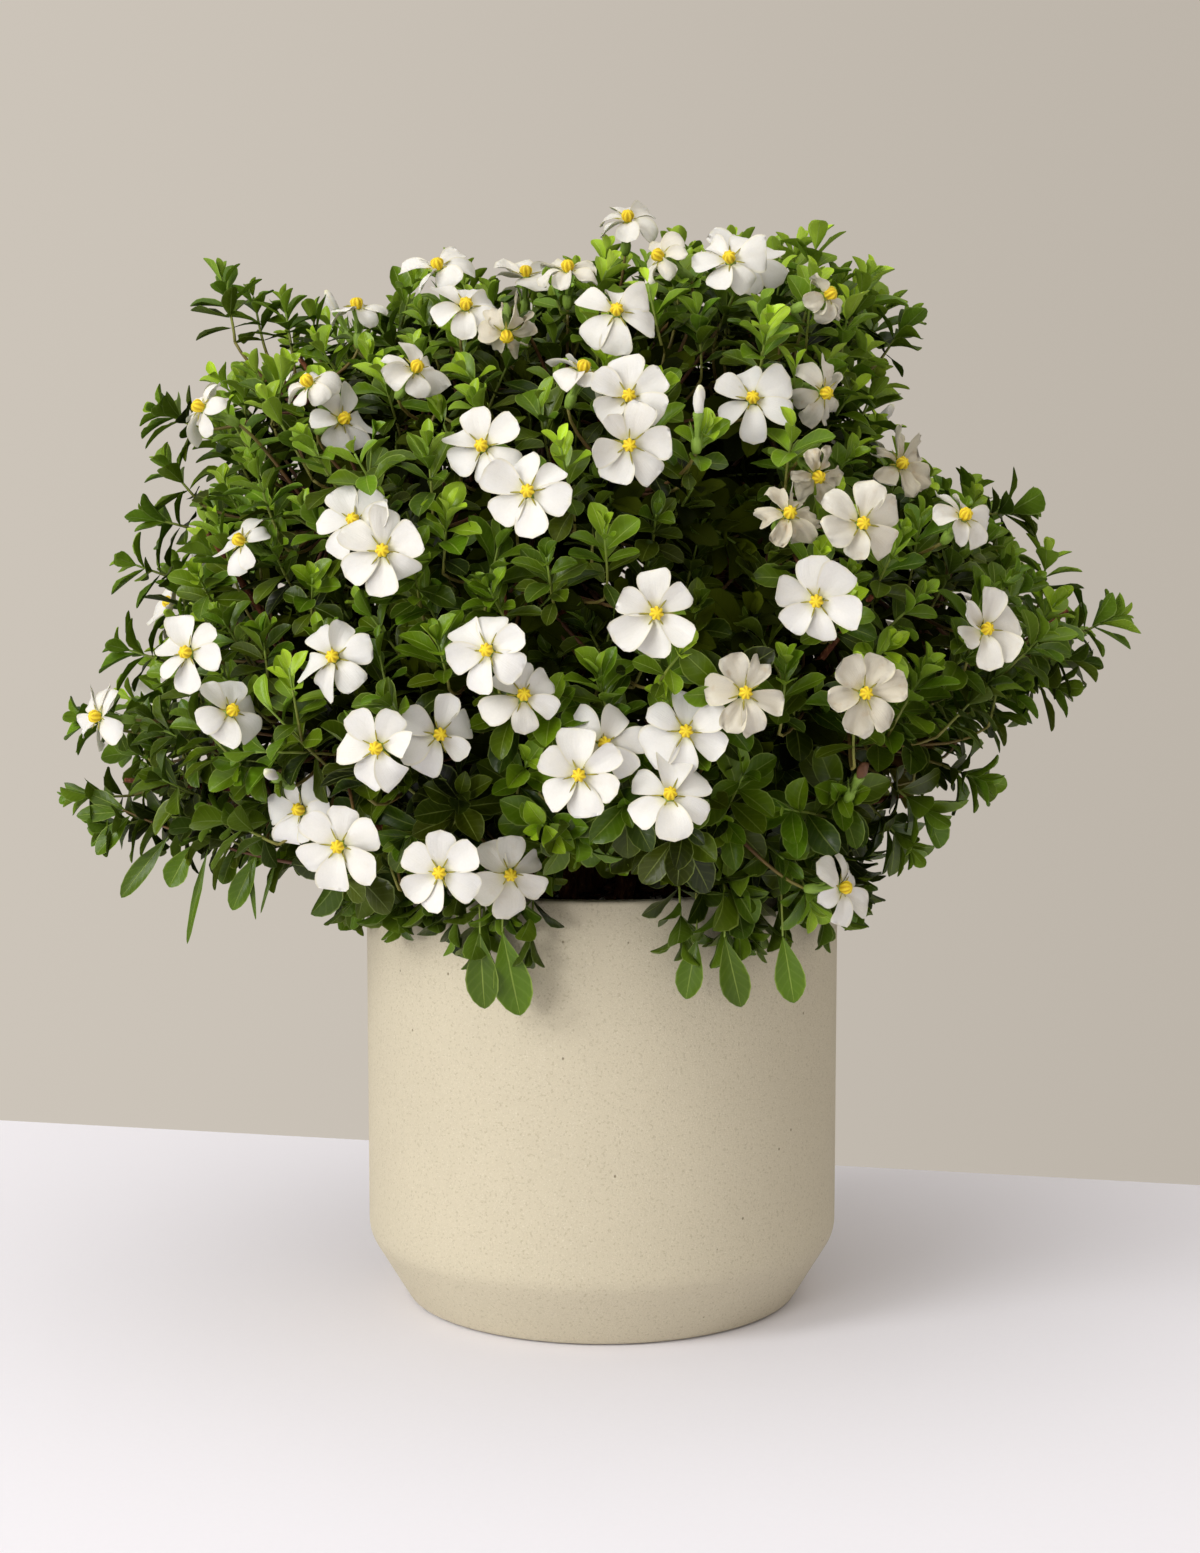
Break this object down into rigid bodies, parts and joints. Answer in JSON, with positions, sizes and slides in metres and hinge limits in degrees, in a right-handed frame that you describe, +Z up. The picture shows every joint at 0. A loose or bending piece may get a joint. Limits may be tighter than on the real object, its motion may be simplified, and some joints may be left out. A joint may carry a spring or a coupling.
{
  "type": "potted gardenia",
  "caption": "Rounded evergreen flowering bush with single six-petalled blooms, growing in an open round planter with a bevelled foot.",
  "frame": {"origin": "centre of the planter's underside, on the surface that it stands on", "axes": "+Z up along the planter's axis, -Y towards the side that faces the viewer, +X to the viewer's right"},
  "size_m": [0.6775, 0.5787, 0.6902],
  "materials": {
    "planter": "matte",
    "potting_mix": "matte",
    "bark": "matte",
    "leaf": "satin",
    "petal": "matte",
    "stigma": "matte",
    "green_stem": "matte"
  },
  "bodies": {
    "root": {"planter": "planter", "potting_mix": "potting_mix", "stem_front": "bark", "stem_front_right": "bark", "stem_right": "bark", "stem_back": "bark", "stem_back_left": "bark", "stem_left": "bark", "stem_front_left": "bark", "stem_tall_left": "bark", "stem_tall_right": "bark", "stem_tall_back": "bark", "leaves_low_front": "leaf", "leaves_low_front_right": "leaf", "leaves_low_back_right": "leaf", "leaves_low_back": "leaf", "leaves_low_back_left": "leaf", "leaves_low_left": "leaf", "leaves_low_front_left": "leaf", "leaves_mid_right": "leaf", "leaves_mid_back_right": "leaf", "leaves_mid_back": "leaf", "leaves_mid_back_left": "leaf", "leaves_mid_left": "leaf", "leaves_mid_front": "leaf", "leaves_mid_front_right": "leaf", "leaves_top_left": "leaf", "leaves_top_front": "leaf", "leaves_top_right": "leaf", "leaves_top_back_right": "leaf", "leaves_top_back_left": "leaf", "leaves_top": "leaf", "bloom_01": "petal", "bloom_02": "petal", "bloom_03": "petal", "bloom_04": "petal", "bloom_05": "petal", "bloom_06": "petal", "bloom_07": "petal", "bloom_08": "petal", "bloom_09": "petal", "bloom_10": "petal", "bloom_11": "petal", "bloom_12": "petal", "bloom_13": "petal", "bloom_14": "petal", "bloom_15": "petal", "bloom_16": "petal", "bloom_17": "petal", "bloom_18": "petal", "bloom_19": "petal", "bloom_20": "petal", "bloom_21": "petal", "bloom_22": "petal", "bloom_23": "petal", "bloom_24": "petal", "bloom_25": "petal", "bloom_26": "petal", "bloom_27": "petal", "bloom_28": "petal"}
  },
  "joints": []
}
